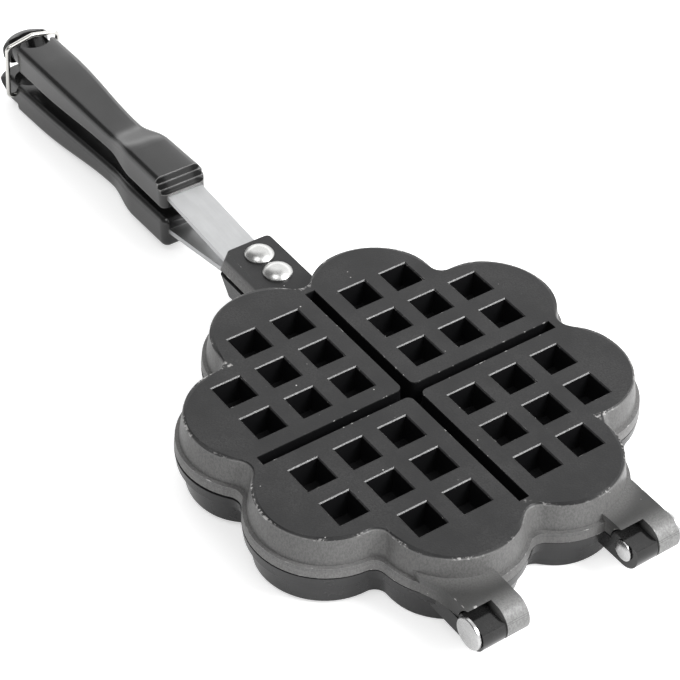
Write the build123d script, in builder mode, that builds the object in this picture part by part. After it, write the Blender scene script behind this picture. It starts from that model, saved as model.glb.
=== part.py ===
from build123d import *
from math import atan2, cos, degrees, hypot, radians, sin, tan
import os

# Stovetop waffle iron: two mirror-fitted aluminium castings hinged on a pair of pins,
# each carried by a steel strip handle with a moulded grip, and a wire bail that
# holds the two grips together. Every casting, strip and grip is drawn on the datum
# plane of its own half: X towards the hinge, Z out of the iron, Z = 0 on the
# parting face. World frame: Z up, origin under the middle of the standing iron.

# Pan shell
pan_depth = 15.2
lobe_radius = 25.46
lobe_far = 52.8
lobe_near = 22.2
cleft_round = 6.0
notch_round = 5.0
floor_thick = 3.0
wall_draft = 1.7
rim_edge = 0.8
flange_height = 4.2
flange_lip = 1.4
flange_draft = 0.4
rim_width = 3.3
cavity_draft = 2.6

# Waffle grid: pockets outside, the studs they make inside
grid_pitch = 19.0
grid_first = 15.35
pocket_size = 12.0
pocket_floor_size = 10.0
pocket_edge = 0.4
stud_web = 2.0
stud_wall = 1.25
stud_draft = 1.0
stud_gap = 3.0
groove_width = 4.4
groove_half_length = 65.0
groove_draft = 3.0
groove_corner = 2.5
rib_wall = 2.0
rib_web = 2.2
rib_gap = 2.0

# Hinge
hinge_reach = 92.3
hinge_spread = 33.0
ear_radius = 7.0
ear_width = 9.2
ear_gap = 0.8
ear_heel = 3.9
ear_chamfer = 0.6
lug_clearance = 0.6
lug_flare = 4.0
lug_blend = 16.0
pin_radius = 2.5
pin_fit = 0.05
pin_head_radius = 6.1
pin_head_thick = 1.2
pin_tail_radius = 4.0
pin_tail_edge = 0.4
pin_tail_height = 1.1
pin_tail_flat = 1.0
pin_end_play = 0.3

# Handle bracket and rivets
bracket_height = 9.7
bracket_back = 108.4
bracket_width = 20.0
bracket_draft = 1.5
bracket_back_draft = 3.1
bracket_round = 2.0
rivet_near = 86.8
rivet_far = 99.6
rivet_head_radius = 5.8
rivet_head_height = 3.0
rivet_head_edge = 0.7
rivet_head_flat = 1.2
rivet_radius = 3.0
rivet_sink = 1.1

# Steel strips
strip_width = 16.0
strip_thick = 2.2
strip_inner_end = 79.5
strip_bend = 108.0
upper_strip_pitch = 4.15
lower_strip_pitch = 10.05
tang_length = 30.0
tang_key_radius = 3.0
strip_side_fit = 0.1

# Moulded grips
grip_start = 155.0
upper_grip_pitch = -2.0
lower_grip_pitch = 2.95
block_length = 27.0
block_width = 21.4
block_top = 8.0
block_bottom = 6.1
block_draft = 0.4
block_corner = 3.2
front_step = 1.8
front_step_rise = 2.0
front_steps = 3
waist_at = 48.0
waist_width = 16.0
waist_top = 4.9
waist_bottom = 4.9
swell_back = 20.5
swell_width = 19.7
swell_top = 7.8
swell_bottom = 5.7
grip_round = 2.8
upper_hole_at = 127.0
lower_hole_at = 132.0
hang_hole_radius = 7.5
neck_back = 3.4
neck_front = 6.5
neck_flare = 1.5
neck_width = 17.5
neck_top = 6.9
knob_shoulder = 11.1
knob_top = 7.1
upper_knob_radius = 14.0
upper_end_round = 6.0
lower_knob_radius = 14.8
lower_knob_draft = 20.5
lower_knob_edge = 1.2
lower_end_round = 2.6

# Wire bail
wire_radius = 1.0
bail_pivot_before = 0.4
bail_rest_past = 0.4
bail_side_gap = 0.35
bail_bar_gap = 1.7
bail_arch = 3.0
bail_bend = 2.6
bail_peak_round = 4.0
bail_foot = 1.15
bail_hole_fit = 0.05

# Stance
ajar = 0.67

# Derived values
floor_height = pan_depth - floor_thick
hinge_gap_half = ear_gap / 2
entry_offset = strip_thick / 2
bail_pivot_at = lower_hole_at - bail_pivot_before
bail_rest_at = upper_hole_at + bail_rest_past


def strip_rise(pitch):
    """Height of a strip's middle over the parting face where it enters its grip."""
    return (grip_start - strip_bend) * tan(radians(pitch)) + entry_offset / cos(radians(pitch))


def outer_bend(pitch):
    """Run at which a strip's outer face bends."""
    return strip_bend - strip_thick * tan(radians(pitch) / 2)


# The lower half stands on the edge of its pan and on the heel of its grip
lower_turn = radians(lower_grip_pitch)
heel_at = lower_hole_at - neck_back
heel_run = grip_start + heel_at * cos(lower_turn) - swell_top * sin(lower_turn)
heel_drop = strip_rise(lower_strip_pitch) + heel_at * sin(lower_turn) + swell_top * cos(lower_turn)
base_run = lobe_far + lobe_radius - rim_edge
lean = atan2(heel_drop - pan_depth, heel_run + base_run)
knob_slant = radians(lower_knob_draft)
tip_at = lower_hole_at + lower_knob_radius - lower_knob_edge * (tan(knob_slant) + 1 / cos(knob_slant) - 1)
tip_under = swell_bottom - lower_knob_edge
tip_run = grip_start + tip_at * cos(lower_turn) + tip_under * sin(lower_turn)
tip_drop = strip_rise(lower_strip_pitch) + tip_at * sin(lower_turn) - tip_under * cos(lower_turn)
ear_x = hinge_reach * cos(lean) + ear_radius
tip_x = -tip_run * cos(lean) - tip_drop * sin(lean)
lower_origin = Vector(-(ear_x + tip_x) / 2, 0, base_run * sin(lean) + pan_depth * cos(lean))
lower_datum = Plane(lower_origin, x_dir=(cos(lean), 0, -sin(lean)), z_dir=(-sin(lean), 0, -cos(lean)))
hinge_point = lower_datum.from_local_coords(Vector(hinge_reach, 0, 0))
lid_lean = lean + radians(ajar)
upper_origin = hinge_point - Vector(cos(lid_lean), 0, -sin(lid_lean)) * hinge_reach
upper_datum = Plane(
    upper_origin, x_dir=(cos(lid_lean), 0, -sin(lid_lean)), z_dir=(sin(lid_lean), 0, cos(lid_lean))
)


def outward(datum):
    """Axis pointing out of a half, for picking its faces."""
    return Axis(datum.origin, datum.z_dir)


def handle_plane(datum, run, rise, pitch):
    """Plane on the handle: X runs out along it, Z out of the iron."""
    spot = Location((-run, 0, rise), (0, pitch, 0))
    return Plane(datum.location * spot * Location((0, 0, 0), (0, 0, 180)))


def edge_plane(plane):
    """Upright middle plane of a half or handle: X kept, Y out of the iron."""
    return Plane(plane.location * Location((0, 0, 0), (90, 0, 0)))


def flower(plane, grow):
    """Outline of four hearts meeting at their points, grown outwards by a distance."""
    lobes = [
        (a * side, b * turn)
        for a, b in ((lobe_far, lobe_near), (lobe_near, lobe_far))
        for side in (-1, 1)
        for turn in (-1, 1)
    ]
    with BuildSketch(plane) as outline:
        with Locations(*lobes):
            Circle(lobe_radius + grow)
        Circle(hypot(lobe_far, lobe_near))
        clefts = [v for v in outline.vertices() if min(abs(v.X), abs(v.Y)) < lobe_near / 2]
        fillet(clefts, max(cleft_round - min(grow, 0), rim_edge))
        notches = [v for v in outline.vertices() if abs(abs(v.X) - abs(v.Y)) < lobe_near / 2]
        fillet(notches, max(notch_round - min(grow, 0), rim_edge))
    return outline.sketch


def grid_spots():
    """Stud centres: a three by three block in each heart without its outer corner."""
    steps = [grid_first + grid_pitch * n for n in range(3)]
    return [
        (side * x, turn * y)
        for x in steps
        for y in steps
        for side in (-1, 1)
        for turn in (-1, 1)
        if x + y < 2 * steps[2]
    ]


def cavity(datum):
    """Cooking space of one pan: the bowl less its studs and the ribs between hearts."""
    rim = flange_lip + wall_draft + flange_draft - rim_width
    floor = datum.offset(floor_height)
    rib_half = groove_width / 2 + rib_wall
    reach = lobe_far + lobe_radius
    with BuildPart() as space:
        loft(sections=[flower(datum, rim).face(), flower(floor, rim - cavity_draft).face()], ruled=True)
        with BuildSketch(floor) as studs:
            with Locations(*grid_spots()):
                Rectangle(pocket_size + 2 * stud_wall, pocket_size + 2 * stud_wall)
        stud_angle = degrees(atan2(stud_draft, floor_height - stud_gap))
        extrude(amount=-(floor_height - stud_gap), taper=stud_angle, mode=Mode.SUBTRACT)
        with BuildSketch(floor) as ribs:
            Rectangle(2 * reach, 2 * rib_half)
            Rectangle(2 * rib_half, 2 * reach)
        extrude(amount=-(floor_height - rib_gap), taper=groove_draft, mode=Mode.SUBTRACT)
    return space.part


def casting(datum, pitch, bore_radius):
    """One pan with its handle bracket and its two hinge lugs."""
    ledge = datum.offset(flange_height)
    top = datum.offset(pan_depth)
    lip = wall_draft + flange_lip
    with BuildPart() as pan:
        # Flange band, then the drafted wall standing on its ledge
        loft(sections=[flower(datum, lip + flange_draft).face(), flower(ledge, lip).face()], ruled=True)
        loft(sections=[flower(ledge, wall_draft).face(), flower(top, 0).face()], ruled=True)
        chamfer(pan.faces().sort_by(outward(datum))[-1].edges(), rim_edge)

        # Bracket at the handle side
        block_run = bracket_back - lobe_far
        with BuildSketch(datum) as bracket_foot:
            with Locations((-lobe_far, 0)):
                Rectangle(
                    block_run + bracket_back_draft,
                    bracket_width + 2 * bracket_draft,
                    align=(Align.MAX, Align.CENTER),
                )
            fillet(bracket_foot.vertices().group_by(Axis.X)[0], bracket_round)
        with BuildSketch(datum.offset(bracket_height)) as bracket_head:
            with Locations((-lobe_far, 0)):
                Rectangle(block_run, bracket_width, align=(Align.MAX, Align.CENTER))
            fillet(bracket_head.vertices().group_by(Axis.X)[0], bracket_round)
        loft()

        # Hinge lugs: flat plates level with their ears
        with BuildSketch(datum) as lugs:
            for side in (-hinge_spread, hinge_spread):
                near = side - ear_width
                far = side + hinge_gap_half + ear_width
                blend_start = (hinge_reach - ear_radius, near)
                blend_end = (hinge_reach - ear_radius - lug_blend, near - lug_flare)
                with BuildLine():
                    Line((hinge_reach, near), blend_start)
                    TangentArc(blend_start, blend_end, tangent=(-1, 0))
                    Polyline(
                        blend_end,
                        (lobe_far, near - lug_flare),
                        (lobe_far, far),
                        (hinge_reach, far),
                        (hinge_reach, near),
                    )
                make_face()
        extrude(amount=ear_radius)

        # Ears, with room beside them for the other half's ears
        for side in (-hinge_spread, hinge_spread):
            inner = side + hinge_gap_half
            face = Plane(datum.location * Location((hinge_reach, inner, 0), (-90, 0, 0)))
            with BuildSketch(face):
                Circle(ear_radius)
            extrude(amount=ear_width)
            with BuildSketch(face):
                Circle(ear_radius + lug_clearance)
            extrude(amount=-(2 * ear_width), mode=Mode.SUBTRACT)
            with BuildSketch(face):
                Circle(bore_radius)
            extrude(amount=ear_width, mode=Mode.SUBTRACT)
        with BuildSketch(datum.offset(-ear_heel)):
            with Locations((hinge_reach, 0)):
                Rectangle(4 * ear_radius, 4 * hinge_spread)
        extrude(amount=-ear_radius, mode=Mode.SUBTRACT)

        # Cooking side
        add(cavity(datum), mode=Mode.SUBTRACT)

        # Outer face: pockets and the cross groove
        pocket_depth = pan_depth - stud_gap - stud_web
        pocket_angle = degrees(atan2((pocket_size - pocket_floor_size) / 2, pocket_depth))
        with BuildSketch(top):
            with Locations(*grid_spots()):
                Rectangle(pocket_size, pocket_size)
        extrude(amount=-pocket_depth, taper=pocket_angle, mode=Mode.SUBTRACT)
        with BuildSketch(top):
            with Locations(*grid_spots()):
                Rectangle(pocket_size + 2 * pocket_edge, pocket_size + 2 * pocket_edge)
        extrude(amount=-pocket_edge, taper=45, mode=Mode.SUBTRACT)
        with BuildSketch(top) as grooves:
            Rectangle(2 * groove_half_length, groove_width)
            Rectangle(groove_width, 2 * groove_half_length)
            crossing = [v for v in grooves.vertices() if hypot(v.X, v.Y) < grid_first]
            fillet(crossing, groove_corner)
        extrude(amount=-(pan_depth - rib_gap - rib_web), taper=groove_draft, mode=Mode.SUBTRACT)

        # Seat for the strip, its floor falling away with the strip's bend, and rivet holes
        seat_end = bracket_back + 2 * bracket_back_draft
        seat_depth = strip_thick + (seat_end - outer_bend(pitch)) * tan(radians(pitch))
        with BuildSketch(edge_plane(datum)):
            with BuildLine():
                Polyline(
                    (-strip_inner_end + strip_side_fit, 0),
                    (-seat_end, 0),
                    (-seat_end, seat_depth),
                    (-outer_bend(pitch), strip_thick),
                    (-strip_inner_end + strip_side_fit, strip_thick),
                    close=True,
                )
            make_face()
        extrude(amount=strip_width / 2 + strip_side_fit, both=True, mode=Mode.SUBTRACT)
        with BuildSketch(datum):
            with Locations((-rivet_near, 0), (-rivet_far, 0)):
                Circle(rivet_radius)
        extrude(amount=pan_depth, mode=Mode.SUBTRACT)
    return pan.part


def strip(datum, pitch):
    """Flat steel strip: riveted end, bend at the bracket, tang inside the grip."""
    end_run = grip_start + tang_length
    rise = (end_run - strip_bend) * tan(radians(pitch))
    outer = strip_thick / cos(radians(pitch))
    with BuildPart() as bar:
        with BuildSketch(edge_plane(datum)) as side:
            with BuildLine():
                Polyline(
                    (-strip_inner_end, 0),
                    (-strip_bend, 0),
                    (-end_run, rise),
                    (-end_run, rise + outer),
                    (-outer_bend(pitch), strip_thick),
                    (-strip_inner_end, strip_thick),
                    close=True,
                )
            make_face()
        extrude(amount=strip_width / 2, both=True)
        with BuildSketch(datum):
            with Locations((-rivet_near, 0), (-rivet_far, 0)):
                Circle(rivet_radius)
            with Locations((-grip_start - tang_length / 2, 0)):
                Circle(tang_key_radius)
        extrude(amount=2 * pan_depth, mode=Mode.SUBTRACT)
        for run in (rivet_near, rivet_far):
            with BuildSketch(datum) as mouth:
                with Locations((-run, 0)):
                    Circle(rivet_radius + rivet_sink)
            extrude(amount=rivet_sink, taper=45, mode=Mode.SUBTRACT)
    return bar.part


def rivet(datum, run):
    """Round-head rivet: domed head on the bracket, tail sunk flush in the strip."""
    crown = bracket_height + rivet_head_height
    axis_plane = Plane(datum.location * Location((-run, 0, 0), (90, 0, 0)))
    with BuildPart() as fixing:
        with BuildSketch(axis_plane):
            with BuildLine():
                Polyline(
                    (rivet_head_flat, crown),
                    (0, crown),
                    (0, 0),
                    (rivet_radius + rivet_sink, 0),
                    (rivet_radius, rivet_sink),
                    (rivet_radius, bracket_height),
                    (rivet_head_radius, bracket_height),
                    (rivet_head_radius, bracket_height + rivet_head_edge),
                )
                TangentArc(
                    (rivet_head_flat, crown),
                    (rivet_head_radius, bracket_height + rivet_head_edge),
                    tangent=(1, 0),
                )
            make_face()
        revolve(axis=Axis(axis_plane.origin, datum.z_dir))
    return fixing.part


def hinge_pin(side, outwards):
    """Headed pin through a pair of ears, its plain end peened over a shallow dome."""
    half = hinge_gap_half + ear_width
    head_face = half + pin_end_play
    tail_rim = (-head_face - pin_tail_edge, pin_tail_radius)
    tail_flat = (-head_face - pin_tail_height, pin_tail_flat)
    axis_plane = Plane(hinge_point + Vector(0, side, 0), x_dir=(0, outwards, 0), z_dir=(0, 0, 1))
    with BuildPart() as pin:
        with BuildSketch(axis_plane):
            with BuildLine():
                Polyline(
                    tail_flat,
                    (-head_face - pin_tail_height, 0),
                    (head_face + pin_head_thick, 0),
                    (head_face + pin_head_thick, pin_head_radius - ear_chamfer / 2),
                    (head_face + pin_head_thick - ear_chamfer / 2, pin_head_radius),
                    (head_face, pin_head_radius),
                    (head_face, pin_radius),
                    (-head_face, pin_radius),
                    (-head_face, pin_tail_radius),
                    tail_rim,
                )
                TangentArc(tail_flat, tail_rim, tangent=(0, 1))
            make_face()
        revolve(axis=Axis(axis_plane.origin, (0, 1, 0)))
    return pin.part


def knob_room(base, hole_at):
    """Where a knob may be: past its neck, flaring out only once clear of the bail's legs."""
    neck_end = hole_at + neck_front
    past_end = hole_at + 2 * upper_knob_radius
    with BuildPart() as room:
        with BuildSketch(base):
            with BuildLine():
                Polyline(
                    (neck_end, 0),
                    (neck_end, neck_width / 2),
                    (neck_end + neck_flare, knob_shoulder),
                    (past_end, knob_shoulder),
                    (past_end, 0),
                    close=True,
                )
            make_face()
            mirror(about=Plane.XZ)
        extrude(amount=upper_knob_radius, both=True)
    return room.part


def round_knob(base, hole_at):
    """Knob at the end of the upper grip, rounded above and below."""
    with BuildPart() as end:
        with BuildSketch(base.offset(-swell_bottom)):
            with Locations((hole_at, 0)):
                Circle(upper_knob_radius)
        extrude(amount=knob_top + swell_bottom)
        fillet(end.edges().filter_by(GeomType.CIRCLE), upper_end_round)
        add(knob_room(base, hole_at), mode=Mode.INTERSECT)
    return end.part


def drafted_knob(base, hole_at):
    """Knob at the end of the lower grip, widest on the side facing the upper one."""
    with BuildPart() as end:
        with BuildSketch(base.offset(-swell_bottom)):
            with Locations((hole_at, 0)):
                Circle(lower_knob_radius)
        extrude(amount=knob_top + swell_bottom, taper=lower_knob_draft)
        fillet(end.edges().filter_by(GeomType.CIRCLE), lower_knob_edge)
        add(knob_room(base, hole_at), mode=Mode.INTERSECT)
    return end.part


def grip(datum, pitch, tang, hole_at, end_round):
    """Moulded grip without its knob: front block, waist, swell and the neck round its hanging hole."""
    base = handle_plane(datum, grip_start, strip_rise(tang), pitch)
    edge = edge_plane(base)
    along = Axis(base.origin, base.x_dir)
    swell_at = hole_at - swell_back
    neck_start = hole_at - neck_back
    with BuildPart() as body:
        # Side view, then plan view
        with BuildSketch(edge):
            with BuildLine():
                Polyline(
                    (block_length, -block_bottom),
                    (0, -block_bottom),
                    (0, block_top),
                    (block_length, block_top),
                )
                Spline(
                    (block_length, block_top),
                    (waist_at, waist_top),
                    (swell_at, swell_top),
                    tangents=[(1, 0), (1, 0), (1, 0)],
                )
                Polyline(
                    (swell_at, swell_top),
                    (neck_start, swell_top),
                    (neck_start, -swell_bottom),
                    (swell_at, -swell_bottom),
                )
                Spline(
                    (block_length, -block_bottom),
                    (waist_at, -waist_bottom),
                    (swell_at, -swell_bottom),
                    tangents=[(1, 0), (1, 0), (1, 0)],
                )
            make_face()
        extrude(amount=block_width, both=True)
        with BuildSketch(base):
            with BuildLine():
                Polyline((0, 0), (0, block_width / 2), (block_length, block_width / 2 - block_draft))
                Spline(
                    (block_length, block_width / 2 - block_draft),
                    (waist_at, waist_width / 2),
                    (swell_at, swell_width / 2),
                    tangents=[(1, 0), (1, 0), (1, 0)],
                )
                Polyline(
                    (swell_at, swell_width / 2),
                    (neck_start, swell_width / 2),
                    (neck_start, 0),
                    (0, 0),
                )
            make_face()
            mirror(about=Plane.XZ)
        extrude(amount=block_width, both=True, mode=Mode.INTERSECT)

        # Rounded long edges and front corners
        fillet(body.edges().filter_by(Axis(base.origin, base.z_dir)).sort_by(along)[:2], block_corner)
        rims = [
            e
            for e in body.edges()
            if abs(e.tangent_at(0.5).dot(base.z_dir)) < 0.7 and abs(e.tangent_at(0.5).dot(base.y_dir)) < 0.9
        ]
        fillet(rims, grip_round)

        # Neck between the bail's legs
        neck_middle = Vector(neck_start, 0, (neck_top - swell_bottom) / 2)
        neck_face = Plane(base.from_local_coords(neck_middle), x_dir=base.y_dir, z_dir=base.x_dir)
        with BuildSketch(neck_face):
            RectangleRounded(neck_width, neck_top + swell_bottom, end_round)
        extrude(amount=neck_back + neck_front)

        # Socket moulded round the tang
        add(strip(datum, tang), mode=Mode.SUBTRACT)
    return body.part


upper_base = handle_plane(upper_datum, grip_start, strip_rise(upper_strip_pitch), upper_grip_pitch)
lower_base = handle_plane(lower_datum, grip_start, strip_rise(lower_strip_pitch), lower_grip_pitch)

with BuildPart() as upper_pan:
    add(casting(upper_datum, upper_strip_pitch, pin_radius + pin_fit))

with BuildPart() as lower_pan:
    add(casting(lower_datum, lower_strip_pitch, pin_radius))

with BuildPart() as upper_strip:
    add(strip(upper_datum, upper_strip_pitch))

with BuildPart() as lower_strip:
    add(strip(lower_datum, lower_strip_pitch))

with BuildPart() as upper_grip:
    add(grip(upper_datum, upper_grip_pitch, upper_strip_pitch, upper_hole_at, upper_end_round))
    add(round_knob(upper_base, upper_hole_at))
    with BuildSketch(upper_base):
        with Locations((upper_hole_at, 0)):
            Circle(hang_hole_radius)
    extrude(amount=block_width, both=True, mode=Mode.SUBTRACT)
    # Front face stepping forward down to the strip
    with BuildSketch(edge_plane(upper_base)):
        for step in range(front_steps):
            with Locations((0, block_top - front_step_rise * (step + 1))):
                Rectangle(front_step * (front_steps - step), block_top, align=(Align.MIN, Align.MIN))
    extrude(amount=block_width, both=True, mode=Mode.SUBTRACT)

with BuildPart() as lower_grip:
    add(grip(lower_datum, lower_grip_pitch, lower_strip_pitch, lower_hole_at, lower_end_round))
    add(drafted_knob(lower_base, lower_hole_at))
    with BuildSketch(lower_base):
        with Locations((lower_hole_at, 0)):
            Circle(hang_hole_radius)
    extrude(amount=block_width, both=True, mode=Mode.SUBTRACT)
    # Eyes for the bail's feet, drilled through the neck into the hanging hole
    with BuildSketch(edge_plane(lower_base)):
        with Locations((bail_pivot_at, 0)):
            Circle(wire_radius + bail_hole_fit)
    extrude(amount=neck_width, both=True, mode=Mode.SUBTRACT)

with BuildPart() as rivet_upper_near:
    add(rivet(upper_datum, rivet_near))

with BuildPart() as rivet_upper_far:
    add(rivet(upper_datum, rivet_far))

with BuildPart() as rivet_lower_near:
    add(rivet(lower_datum, rivet_near))

with BuildPart() as rivet_lower_far:
    add(rivet(lower_datum, rivet_far))

with BuildPart() as hinge_pin_left:
    add(hinge_pin(-hinge_spread, -1))

with BuildPart() as hinge_pin_right:
    add(hinge_pin(hinge_spread, 1))

# Bail: feet in the lower grip's neck, legs beside both necks, peaked bar over the upper one
pivot = lower_base.from_local_coords(Vector(bail_pivot_at, 0, 0))
perch = upper_base.from_local_coords(Vector(bail_rest_at, 0, neck_top + bail_bar_gap + wire_radius))
bail_plane = Plane(pivot, x_dir=(0, 1, 0), z_dir=Vector(0, 1, 0).cross(perch - pivot))
bar_height = (perch - pivot).length
leg = knob_shoulder + bail_side_gap + wire_radius
foot = neck_width / 2 - bail_foot
with BuildPart() as latch_bail:
    with BuildLine(bail_plane) as wire:
        Polyline(
            (-foot, 0),
            (-leg, 0),
            (-leg, bar_height - bail_arch),
            (0, bar_height),
            (leg, bar_height - bail_arch),
            (leg, 0),
            (foot, 0),
        )
        fillet([v for v in wire.vertices() if abs(v.Y) > (leg + foot) / 2], bail_bend)
        fillet(wire.vertices().sort_by(Axis(pivot, perch - pivot))[-1], bail_peak_round)
    with BuildSketch(Plane(wire.line @ 0, z_dir=wire.line % 0)):
        Circle(wire_radius)
    sweep()

os.makedirs("parts", exist_ok=True)
upper_pan.part.label = "upper_pan"
export_step(upper_pan.part, "parts/upper_pan.step")
lower_pan.part.label = "lower_pan"
export_step(lower_pan.part, "parts/lower_pan.step")
upper_strip.part.label = "upper_strip"
export_step(upper_strip.part, "parts/upper_strip.step")
lower_strip.part.label = "lower_strip"
export_step(lower_strip.part, "parts/lower_strip.step")
upper_grip.part.label = "upper_grip"
export_step(upper_grip.part, "parts/upper_grip.step")
lower_grip.part.label = "lower_grip"
export_step(lower_grip.part, "parts/lower_grip.step")
rivet_upper_near.part.label = "rivet_upper_near"
export_step(rivet_upper_near.part, "parts/rivet_upper_near.step")
rivet_upper_far.part.label = "rivet_upper_far"
export_step(rivet_upper_far.part, "parts/rivet_upper_far.step")
rivet_lower_near.part.label = "rivet_lower_near"
export_step(rivet_lower_near.part, "parts/rivet_lower_near.step")
rivet_lower_far.part.label = "rivet_lower_far"
export_step(rivet_lower_far.part, "parts/rivet_lower_far.step")
hinge_pin_left.part.label = "hinge_pin_left"
export_step(hinge_pin_left.part, "parts/hinge_pin_left.step")
hinge_pin_right.part.label = "hinge_pin_right"
export_step(hinge_pin_right.part, "parts/hinge_pin_right.step")
latch_bail.part.label = "latch_bail"
export_step(latch_bail.part, "parts/latch_bail.step")
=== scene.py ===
"""Finishes, floor, lamps and camera for the stovetop waffle iron.

Lengths are metres. The iron stands on the edge of its lower pan and the heel of its lower grip, with the
hinge towards +X and the grips towards -X. Its finishes read Object coordinates.
"""

import math

import bpy
from mathutils import Matrix, Vector


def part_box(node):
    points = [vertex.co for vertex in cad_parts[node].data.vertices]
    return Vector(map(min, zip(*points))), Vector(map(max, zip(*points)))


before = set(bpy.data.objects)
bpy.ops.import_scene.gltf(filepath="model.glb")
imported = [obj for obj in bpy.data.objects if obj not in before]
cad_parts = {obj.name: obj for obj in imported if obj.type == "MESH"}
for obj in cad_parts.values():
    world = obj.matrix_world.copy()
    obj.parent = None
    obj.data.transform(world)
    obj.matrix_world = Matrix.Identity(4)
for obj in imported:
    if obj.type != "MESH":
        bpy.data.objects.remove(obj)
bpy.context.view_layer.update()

# ---- Places on the iron ---------------------------------------------------------------------

MM = 0.001
hinge_reach = 92.3 * MM
upper_lean = math.radians(2.0453)
lower_lean = math.radians(1.3753)
pan_depth = 15.2 * MM
band_height = 4.2 * MM
band_lines = (3.55 * MM, 2.9 * MM)
lobe_centre = (52.8 * MM, 22.2 * MM)
lobe_radius = 25.46 * MM
pocket_side_reach = 22.0 * MM
wall_from = 65.5 * MM
top_edge = 0.45 * MM
bracket_half_width = 10.6 * MM
lug_fade = 9 * MM
ear_from = 86 * MM
ear_full = 97 * MM
rim_drop = 0.75 * MM
rim_inset = 0.7 * MM
front_steps_run = 5.6 * MM

# A half's seat is its parting face: X towards the hinge, Z out of the iron, Z = 0 on the face
hinge_point = (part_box("hinge_pin_left")[0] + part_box("hinge_pin_left")[1]) / 2
hinge_point.y = 0.0
upper_turn = Matrix.Rotation(upper_lean, 4, "Y")
lower_turn = Matrix.Rotation(lower_lean, 4, "Y") @ Matrix.Rotation(math.pi, 4, "X")
to_pan_middle = Matrix.Translation((-hinge_reach, 0, 0))
upper_seat = Matrix.Translation(hinge_point) @ upper_turn @ to_pan_middle
lower_seat = Matrix.Translation(hinge_point) @ lower_turn @ to_pan_middle
grip_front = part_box("upper_grip")[1].x - front_steps_run

# ---- Colours, as linear light ---------------------------------------------------------------

coat_black = (0.0135, 0.0135, 0.014)
# Painted shade: the pockets' coat made darker to stand for the shade deep in them
pocket_painted_shade = (0.005, 0.005, 0.0055)
coat_rubbed = (0.115, 0.113, 0.112)
# Bare metal for worn marks; also the pale colour of the painted highlight on the grips' step lips
bare_metal_and_highlight = (0.62, 0.61, 0.60)
phenolic_black = (0.012, 0.012, 0.012)
zinc_plate = (0.52, 0.525, 0.53)
rivet_aluminium = (0.60, 0.60, 0.59)
pin_steel = (0.54, 0.54, 0.54)
wire_steel = (0.70, 0.69, 0.66)
floor_grey = (0.82, 0.82, 0.82)
white = (1.0, 1.0, 1.0)

# ---- How strongly each mark shows -----------------------------------------------------------

edge_softness = 0.15 * MM
line_half_width = 0.16 * MM
bevel_slope = 0.707
bevel_slope_range = 0.12
bevel_slope_softness = 0.05
casting_wear_width = 0.5 * MM
casting_grain = 1500.0
streak_stretch = (1500, 1500, 900)
streak_strength = 0.36
band_line_strength = 0.45
mottle_strength = 0.22
mark_metallic = 0.6
crown_cube = -700.0
slow_relief = 0.02 * MM
fine_relief = 0.003 * MM
grip_chip_strength = 0.25
# Strength of the painted highlight on the grips' front step lips
grip_lip_highlight_strength = 0.4
grip_edge_mark_width = 0.8 * MM
metal_shade = 0.92
metal_relief = 0.02 * MM
roughness_swing = 0.06

# ---- Studio ---------------------------------------------------------------------------------

camera_target = Vector((55.97, 0.59, 25.0)) * MM
camera_azimuth = -34.85
camera_elevation = 40.0
camera_distance = 797.4 * MM
field_of_view = 18.18
view_end = 20.0
floor_half = 3.0
floor_glow = 0.55
floor_glint = 0.3
dark_side = 0.22
studio_steps = (
    (0.0, 0.9), (0.2, 1.3), (0.33, 2.6), (0.5, 1.3),
    (0.64, 1.15), (0.71, 1.6), (0.86, 1.1), (1.0, 0.6),
)


# ---- Node helpers ---------------------------------------------------------------------------

def feed(tree, socket, value):
    """value set on the socket, or linked to it where value is a socket itself."""
    if isinstance(value, bpy.types.NodeSocket):
        tree.links.new(value, socket)
    else:
        socket.default_value = value


def maths(tree, operation, first, second=0.5, clamp=False):
    """first and second joined by a Math node; each is a socket or a number."""
    node = tree.nodes.new("ShaderNodeMath")
    node.operation = operation
    node.use_clamp = clamp
    feed(tree, node.inputs[0], first)
    feed(tree, node.inputs[1], second)
    return node.outputs[0]


def product(tree, *parts):
    """All parts multiplied together; each is a socket or a number."""
    total = parts[0]
    for part in parts[1:]:
        total = maths(tree, "MULTIPLY", total, part)
    return total


def inverse(tree, mask):
    """1 where mask is 0, and the other way round."""
    return maths(tree, "SUBTRACT", 1.0, mask)


def spread(tree, value, low, high, to_low=0.0, to_high=1.0):
    """value taken smoothly from low..high to to_low..to_high, held at the ends."""
    node = tree.nodes.new("ShaderNodeMapRange")
    node.interpolation_type = "SMOOTHSTEP"
    tree.links.new(value, node.inputs["Value"])
    node.inputs["From Min"].default_value = low
    node.inputs["From Max"].default_value = high
    node.inputs["To Min"].default_value = to_low
    node.inputs["To Max"].default_value = to_high
    return node.outputs["Result"]


def above(tree, value, limit):
    """1 where value is over limit, 0 where it is under, with a short soft step."""
    return spread(tree, value, limit - edge_softness, limit + edge_softness)


def below(tree, value, limit, soft=edge_softness):
    """1 where value is under limit, 0 where it is over, with a short soft step."""
    return spread(tree, value, limit - soft, limit + soft, 1.0, 0.0)


def near_height(tree, height, level):
    """1 on a thin line at that height, fading to 0 on both sides of it."""
    distance = maths(tree, "ABSOLUTE", maths(tree, "SUBTRACT", height, level))
    return spread(tree, distance, 0.0, line_half_width, 1.0, 0.0)


def hypotenuse(tree, first, second):
    """Length of the vector with those two parts."""
    squares = [maths(tree, "MULTIPLY", part, part) for part in (first, second)]
    return maths(tree, "SQRT", maths(tree, "ADD", *squares))


def blend_colours(tree, mask, first, second):
    """first where mask is 0, second where it is 1; each colour is a socket or three numbers."""
    node = tree.nodes.new("ShaderNodeMix")
    node.data_type = "RGBA"
    tree.links.new(mask, node.inputs["Factor"])
    for socket, value in zip((node.inputs[6], node.inputs[7]), (first, second)):
        feed(tree, socket, (*value, 1.0) if isinstance(value, tuple) else value)
    return node.outputs[2]


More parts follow.
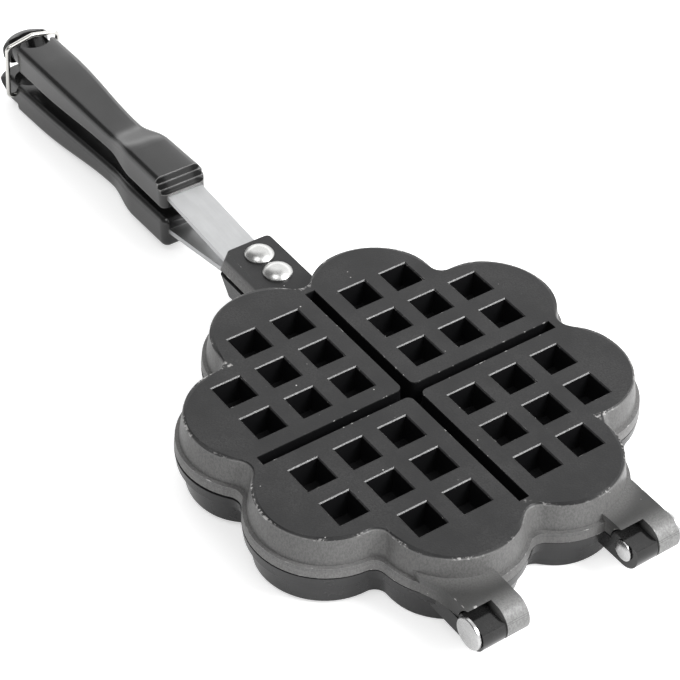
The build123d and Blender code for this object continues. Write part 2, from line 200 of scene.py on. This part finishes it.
def noise(tree, place, scale, detail=3.0, roughness=0.55):
    """The value of a Noise Texture at place; scale is a socket or a number."""
    node = tree.nodes.new("ShaderNodeTexNoise")
    feed(tree, node.inputs["Scale"], scale)
    node.inputs["Detail"].default_value = detail
    node.inputs["Roughness"].default_value = roughness
    tree.links.new(place, node.inputs["Vector"])
    return node.outputs["Fac"]


def parts_of(tree, vector):
    """The X, Y and Z of a vector."""
    node = tree.nodes.new("ShaderNodeSeparateXYZ")
    tree.links.new(vector, node.inputs[0])
    return node.outputs


def coordinates(tree, kind="Object"):
    """The surface's own coordinates of that kind."""
    return tree.nodes.new("ShaderNodeTexCoord").outputs[kind]


def placed(tree, scale=(1, 1, 1), seat=None):
    """Object coordinates, stretched, or measured from a seat: a place and a turn given as a matrix."""
    mapping = tree.nodes.new("ShaderNodeMapping")
    mapping.inputs["Scale"].default_value = scale
    if seat:
        back = seat.inverted()
        mapping.inputs["Location"].default_value = back.translation
        mapping.inputs["Rotation"].default_value = back.to_euler()
    tree.links.new(coordinates(tree), mapping.inputs["Vector"])
    return mapping.outputs["Vector"]


def new_group(name, inputs, outputs):
    """An empty shader node group with float or vector sockets; inputs gives each one's start value."""
    group = bpy.data.node_groups.new(name, "ShaderNodeTree")
    for label, value in inputs.items():
        kind = "NodeSocketVector" if isinstance(value, tuple) else "NodeSocketFloat"
        group.interface.new_socket(label, in_out="INPUT", socket_type=kind).default_value = value
    for label in outputs:
        group.interface.new_socket(label, in_out="OUTPUT", socket_type="NodeSocketFloat")
    return group, group.nodes.new("NodeGroupInput"), group.nodes.new("NodeGroupOutput")


def use_group(tree, group, **values):
    """The group placed in tree; values are numbers or sockets."""
    node = tree.nodes.new("ShaderNodeGroup")
    node.node_tree = group
    for name, value in values.items():
        feed(tree, node.inputs[name], value)
    return node


# ---- Shared effects -------------------------------------------------------------------------

def make_edge_wear_and_highlight():
    """Marks along outer edges: Line is a thin even line, used on the grips as a painted highlight; Chips is
    that line broken up and widened, used as wear.
    """
    group, inside, out = new_group(
        "edge_wear_and_highlight", {"Width": 0.0006, "Amount": 0.5, "Scale": 300.0}, ("Line", "Chips"))
    near_edge = group.nodes.new("ShaderNodeAmbientOcclusion")
    near_edge.inside = True
    near_edge.only_local = True
    near_edge.samples = 6
    group.links.new(inside.outputs["Width"], near_edge.inputs["Distance"])
    depth = inverse(group, near_edge.outputs["AO"])
    line = spread(group, depth, 0.22, 0.62)
    broken = noise(group, coordinates(group), inside.outputs["Scale"], 5.0, 0.5)
    patches = maths(group, "ADD", broken, inside.outputs["Amount"])
    chips = product(group, spread(group, patches, 1.02, 1.16), spread(group, depth, 0.12, 0.4))
    group.links.new(line, out.inputs["Line"])
    group.links.new(chips, out.inputs["Chips"])
    return group


def make_cast_grain():
    """The skin of a coated casting: Height for the bump, Mottle for slow patches, Specks for pale dots."""
    group, inside, out = new_group(
        "cast_grain", {"Grain": 1500.0, "Specks": 0.5}, ("Height", "Mottle", "Specks"))
    place = coordinates(group)
    fine = noise(group, place, inside.outputs["Grain"], 4.0, 0.5)
    slow = noise(group, place, 55.0, 4.0, 0.6)
    dots = group.nodes.new("ShaderNodeTexVoronoi")
    group.links.new(place, dots.inputs["Vector"])
    dots.inputs["Scale"].default_value = 420.0
    near = spread(group, dots.outputs["Distance"], 0.05, 0.16, 1.0, 0.0)
    chosen = maths(group, "ADD", noise(group, place, 190.0, 2.0), inside.outputs["Specks"])
    specks = product(group, near, spread(group, chosen, 1.12, 1.2))
    group.links.new(fine, out.inputs["Height"])
    group.links.new(slow, out.inputs["Mottle"])
    group.links.new(specks, out.inputs["Specks"])
    return group


def make_brushed():
    """Fine lines along one axis of the place given: Height for the bump and Shade for the tone."""
    group, inside, out = new_group("brushed", {"Vector": (0.0, 0.0, 0.0)}, ("Height", "Shade"))
    lines = noise(group, inside.outputs["Vector"], 1.0, 5.0, 0.7)
    shade = noise(group, inside.outputs["Vector"], 0.23, 3.0, 0.5)
    group.links.new(lines, out.inputs["Height"])
    group.links.new(shade, out.inputs["Shade"])
    return group


edge_wear_and_highlight = make_edge_wear_and_highlight()
cast_grain = make_cast_grain()
brushed = make_brushed()


# ---- Finishes -------------------------------------------------------------------------------

def new_material(name, **constants):
    """A material with a Principled shader, whose constant values are set on its own sockets."""
    material = bpy.data.materials.new(name)
    material.use_nodes = True
    shader = material.node_tree.nodes["Principled BSDF"]
    for label, value in constants.items():
        shader.inputs[label.replace("_", " ")].default_value = value
    return material, material.node_tree, shader


def bump(tree, shader, height, strength, distance):
    """height as relief on the shader's normal; distance is the relief's full depth in metres."""
    node = tree.nodes.new("ShaderNodeBump")
    node.inputs["Strength"].default_value = strength
    node.inputs["Distance"].default_value = distance
    tree.links.new(height, node.inputs["Height"])
    tree.links.new(node.outputs["Normal"], shader.inputs["Normal"])


def casting_masks(tree, place):
    """Masks of a pan's regions by name, measured on its seat."""
    along, across, height = parts_of(tree, place)
    left = maths(tree, "ABSOLUTE", along)
    right = maths(tree, "ABSOLUTE", across)
    more = maths(tree, "SUBTRACT", maths(tree, "MAXIMUM", left, right), lobe_centre[0])
    less = maths(tree, "SUBTRACT", maths(tree, "MINIMUM", left, right), lobe_centre[1])
    from_lobe = hypotenuse(tree, more, less)
    from_middle = hypotenuse(tree, along, across)
    outside = product(tree, above(tree, from_lobe, pocket_side_reach), above(tree, from_middle, wall_from))
    below_top = above(tree, maths(tree, "SUBTRACT", pan_depth, height), top_edge)
    bracket = product(tree, below(tree, along, -wall_from), below(tree, right, bracket_half_width))
    wall = product(tree, outside, below_top, inverse(tree, bracket))
    clear_of_lobes = spread(tree, from_lobe, lobe_radius, lobe_radius + lug_fade)
    high = above(tree, height, pan_depth - rim_drop)
    rim = product(tree, high, above(tree, from_lobe, lobe_radius - rim_inset))
    return {
        "outside": outside,
        "wall": wall,
        "sunk": product(tree, below_top, inverse(tree, outside)),
        "band": product(tree, wall, below(tree, height, band_height)),
        "band_lines": maths(tree, "ADD", *(near_height(tree, height, level) for level in band_lines)),
        "lug": product(tree, wall, above(tree, along, wall_from), clear_of_lobes),
        "ear": product(tree, wall, spread(tree, along, ear_from, ear_full)),
        "rim": rim,
    }


def coated_casting(name, seat, wall_colour, band_colour, lug_colour, ear_colour, ear_gloss, rim_wear,
                   grain_depth, roughness, chips, specks):
    """Cast aluminium under a dark heat-proof coat, bare where rubbed; its outer walls a lighter tone, partly
    a paler skin and partly painted light, and its pockets painted darker as shade.
    """
    material, tree, shader = new_material(name, Specular_IOR_Level=0.28, Coat_Roughness=0.07)
    place = placed(tree, seat=seat)
    mask = casting_masks(tree, place)
    skin = use_group(tree, cast_grain, Grain=casting_grain, Specks=specks)
    streaks = noise(tree, placed(tree, scale=streak_stretch), 1.0, 5.0, 0.75)

    # Colour: top and pockets, the pockets painted darker as shade, then the outer side from the wall down to
    # the band
    base = blend_colours(tree, mask["sunk"], coat_black, pocket_painted_shade)
    # The outer side's lighter wall, band and ear tones are partly a paler, worn cast skin and partly painted
    # light from the floor and front
    side = blend_colours(tree, mask["band"], wall_colour, band_colour)
    side = blend_colours(tree, mask["lug"], side, lug_colour)
    side = blend_colours(tree, mask["ear"], side, ear_colour)
    dark_streaks = spread(tree, streaks, 0.38, 0.66, 0.0, streak_strength)
    side = blend_colours(tree, dark_streaks, side, coat_black)
    machined = product(tree, mask["band_lines"], band_line_strength)
    side = blend_colours(tree, machined, side, coat_black)
    base = blend_colours(tree, mask["wall"], base, side)
    tone = product(tree, spread(tree, skin.outputs["Mottle"], 0.3, 0.75), spread(tree, streaks, 0.3, 0.7))
    lighter = blend_colours(tree, product(tree, tone, mottle_strength), base, coat_rubbed)
    base = blend_colours(tree, mask["sunk"], lighter, base)

    # Bare metal: chips, specks and scuffs along the rim, but none in the pockets
    edge_marks = use_group(tree, edge_wear_and_highlight, Width=casting_wear_width, Amount=chips, Scale=420.0)
    patches = spread(tree, noise(tree, place, 75.0, 3.0), 0.48, 0.62)
    scuffs = product(tree, patches, spread(tree, noise(tree, place, 800.0, 3.0), 0.46, 0.62))
    rubbed = product(tree, mask["rim"], mask["outside"], scuffs)
    marks = maths(tree, "MAXIMUM", edge_marks.outputs["Chips"], skin.outputs["Specks"], clamp=True)
    marks = maths(tree, "MAXIMUM", marks, product(tree, rubbed, rim_wear))
    marks = product(tree, marks, inverse(tree, mask["sunk"]))
    tree.links.new(blend_colours(tree, marks, base, bare_metal_and_highlight), shader.inputs["Base Color"])
    tree.links.new(product(tree, marks, mark_metallic), shader.inputs["Metallic"])

    # Gloss: smoother ears, and a glint on the bevels of the pockets and the top
    rough = spread(tree, skin.outputs["Mottle"], 0.3, 0.7, roughness - 0.04, roughness + 0.05)
    smoother = inverse(tree, product(tree, mask["ear"], 2.0 * ear_gloss))
    tree.links.new(product(tree, rough, smoother), shader.inputs["Roughness"])
    upright = maths(tree, "ABSOLUTE", parts_of(tree, coordinates(tree, "Normal"))[2])
    slant = maths(tree, "ABSOLUTE", maths(tree, "SUBTRACT", upright, bevel_slope))
    on_bevel = below(tree, slant, bevel_slope_range, bevel_slope_softness)
    bevel = product(tree, on_bevel, inverse(tree, mask["outside"]))
    glint = product(tree, bevel, spread(tree, streaks, 0.3, 0.7, 0.2, 0.75))
    gloss = maths(tree, "MAXIMUM", glint, product(tree, mask["ear"], ear_gloss))
    tree.links.new(gloss, shader.inputs["Coat Weight"])
    bump(tree, shader, skin.outputs["Height"], 0.5, grain_depth)
    return material


def moulded_phenolic():
    """Black phenolic moulding with a crowned top, light rubbing and a painted highlight on the lips of its
    front steps.
    """
    material, tree, shader = new_material("moulded_phenolic", Specular_IOR_Level=0.55)
    place = placed(tree)
    along, across, _ = parts_of(tree, place)
    slow = noise(tree, place, 90.0, 3.0)
    fine = noise(tree, place, 1400.0, 2.0)
    edge_marks = use_group(tree, edge_wear_and_highlight, Width=grip_edge_mark_width, Amount=0.35, Scale=250.0)
    chips = product(tree, edge_marks.outputs["Chips"], grip_chip_strength)
    colour = blend_colours(tree, chips, phenolic_black, coat_rubbed)
    # Painted highlight: a pale line on the edges of the front steps, standing for bright reflections there
    step_lip_highlight = product(tree, edge_marks.outputs["Line"], above(tree, along, grip_front))
    colour = blend_colours(tree, product(tree, step_lip_highlight, grip_lip_highlight_strength), colour, bare_metal_and_highlight)
    tree.links.new(colour, shader.inputs["Base Color"])
    tree.links.new(spread(tree, slow, 0.3, 0.7, 0.12, 0.2), shader.inputs["Roughness"])
    cube = maths(tree, "POWER", maths(tree, "ABSOLUTE", across), 3.0)
    crown = product(tree, cube, crown_cube)
    uneven = maths(tree, "ADD", product(tree, slow, slow_relief), product(tree, fine, fine_relief))
    bump(tree, shader, maths(tree, "ADD", crown, uneven), 1.0, 1.0)
    return material


def brushed_metal(name, colour, roughness, along):
    """Bright metal with a fine grain; along stretches the grain on each axis."""
    material, tree, shader = new_material(name, Metallic=1.0)
    grain = use_group(tree, brushed, Vector=placed(tree, scale=along))
    slow = noise(tree, placed(tree), 140.0, 4.0)
    shade = tuple(metal_shade * part for part in colour)
    lines = product(tree, grain.outputs["Shade"], 0.6)
    tone = maths(tree, "ADD", lines, product(tree, slow, 0.4))
    tinted = blend_colours(tree, spread(tree, tone, 0.35, 0.65), shade, colour)
    tree.links.new(tinted, shader.inputs["Base Color"])
    smooth, rough = roughness - roughness_swing, roughness + roughness_swing
    dull = spread(tree, grain.outputs["Height"], 0.3, 0.7, smooth, rough)
    tree.links.new(dull, shader.inputs["Roughness"])
    bump(tree, shader, grain.outputs["Height"], 0.25, metal_relief)
    return material


# The upper walls, band and ears are lighter than the top partly as painted light, standing for the light
# that falls on them
upper_coat = coated_casting(
    "upper_coat", upper_seat, wall_colour=(0.15, 0.149, 0.147), band_colour=(0.19, 0.188, 0.186),
    lug_colour=(0.04, 0.04, 0.039), ear_colour=(0.24, 0.24, 0.237), ear_gloss=0.0, rim_wear=0.55,
    grain_depth=0.08 * MM, roughness=0.40, chips=0.44, specks=0.48)
lower_coat = coated_casting(
    "lower_coat", lower_seat, wall_colour=(0.026, 0.026, 0.027), band_colour=(0.030, 0.030, 0.031),
    lug_colour=(0.010, 0.010, 0.010), ear_colour=(0.004, 0.004, 0.004), ear_gloss=0.25, rim_wear=0.1,
    grain_depth=0.02 * MM, roughness=0.24, chips=0.3, specks=0.3)
phenolic = moulded_phenolic()
strip_plate = brushed_metal("strip_plate", zinc_plate, 0.38, (90.0, 1100.0, 1100.0))
rivet_metal = brushed_metal("rivet_metal", rivet_aluminium, 0.30, (900.0, 900.0, 900.0))
pin_metal = brushed_metal("pin_metal", pin_steel, 0.26, (1200.0, 1200.0, 1200.0))
wire_metal = brushed_metal("wire_metal", wire_steel, 0.18, (700.0, 700.0, 700.0))

finishes = {
    "upper_pan": upper_coat,
    "lower_pan": lower_coat,
    "upper_strip": strip_plate,
    "lower_strip": strip_plate,
    "upper_grip": phenolic,
    "lower_grip": phenolic,
    "rivet_upper_near": rivet_metal,
    "rivet_upper_far": rivet_metal,
    "rivet_lower_near": rivet_metal,
    "rivet_lower_far": rivet_metal,
    "hinge_pin_left": pin_metal,
    "hinge_pin_right": pin_metal,
    "latch_bail": wire_metal,
}
for node_name, finish in finishes.items():
    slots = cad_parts[node_name].data.materials
    for index in range(max(1, len(slots))):
        if index < len(slots):
            slots[index] = finish
        else:
            slots.append(finish)


# ---- Floor, lamps and camera ----------------------------------------------------------------

def aim(thing, azimuth, elevation, distance):
    """thing put in the scene, facing the target from that azimuth (0 is +X, 90 is +Y) and elevation."""
    bpy.context.scene.collection.objects.link(thing)
    turn, rise = math.radians(azimuth), math.radians(elevation)
    away = Vector((math.cos(turn) * math.cos(rise), math.sin(turn) * math.cos(rise), math.sin(rise)))
    thing.location = camera_target + distance * away
    thing.rotation_euler = away.to_track_quat("Z", "Y").to_euler()


def make_floor():
    """A wide white floor with the iron's shadow, which shows white to the camera and to glossy metal."""
    corners = [(x * floor_half, y * floor_half, 0) for x, y in ((-1, -1), (1, -1), (1, 1), (-1, 1))]
    mesh = bpy.data.meshes.new("floor")
    mesh.from_pydata(corners, [], [(0, 1, 2, 3)])
    floor = bpy.data.objects.new("floor", mesh)
    bpy.context.scene.collection.objects.link(floor)
    material, tree, shader = new_material("floor_white", Roughness=1.0, Specular_IOR_Level=0.0)
    shader.inputs["Base Color"].default_value = (*floor_grey, 1.0)
    shader.inputs["Emission Color"].default_value = (*white, 1.0)
    path = tree.nodes.new("ShaderNodeLightPath")
    glow = product(tree, path.outputs["Is Camera Ray"], floor_glow)
    glint = product(tree, path.outputs["Is Glossy Ray"], floor_glint)
    tree.links.new(maths(tree, "ADD", glow, glint), shader.inputs["Emission Strength"])
    mesh.materials.append(material)


def make_world():
    """A pale studio with bright panels that the flat tops mirror and a darker front, white to the camera."""
    world = bpy.data.worlds.new("studio")
    bpy.context.scene.world = world
    world.use_nodes = True
    tree = world.node_tree
    _, across, height = parts_of(tree, coordinates(tree, "Generated"))
    ramp = tree.nodes.new("ShaderNodeValToRGB")
    tree.links.new(height, ramp.inputs["Fac"])
    stops = ramp.color_ramp.elements
    while len(stops) < len(studio_steps):
        stops.new(1.0)
    for stop, (position, level) in zip(stops, studio_steps):
        stop.position = position
        stop.color = (level, level, level, 1.0)
    in_front = spread(tree, across, -0.35, 0.1, 1.0, 0.0)
    front = product(tree, in_front, spread(tree, height, 0.08, 0.25))
    room = blend_colours(tree, front, ramp.outputs["Color"], (dark_side, dark_side, dark_side))
    path = tree.nodes.new("ShaderNodeLightPath")
    colour = blend_colours(tree, path.outputs["Is Camera Ray"], room, white)
    tree.links.new(colour, tree.nodes["Background"].inputs["Color"])


def add_softbox(name, azimuth, elevation, distance, size, watts):
    """A square lamp aimed at the iron; angles are in degrees."""
    lamp = bpy.data.lights.new(name, "AREA")
    lamp.shape = "SQUARE"
    lamp.size = size
    lamp.energy = watts
    aim(bpy.data.objects.new(name, lamp), azimuth, elevation, distance)


def make_camera():
    """The camera that looks over the hinge side, from the right."""
    data = bpy.data.cameras.new("camera")
    data.sensor_fit = "HORIZONTAL"
    data.angle = math.radians(field_of_view)
    data.clip_end = view_end
    camera = bpy.data.objects.new("camera", data)
    aim(camera, camera_azimuth, camera_elevation, camera_distance)
    bpy.context.scene.camera = camera


make_floor()
make_world()
add_softbox("softbox_right", 34.0, 38.0, distance=1.3, size=0.6, watts=14.0)
add_softbox("softbox_front", -60.0, 60.0, distance=1.5, size=0.7, watts=5.0)
make_camera()
bpy.context.scene.view_settings.view_transform = "Standard"
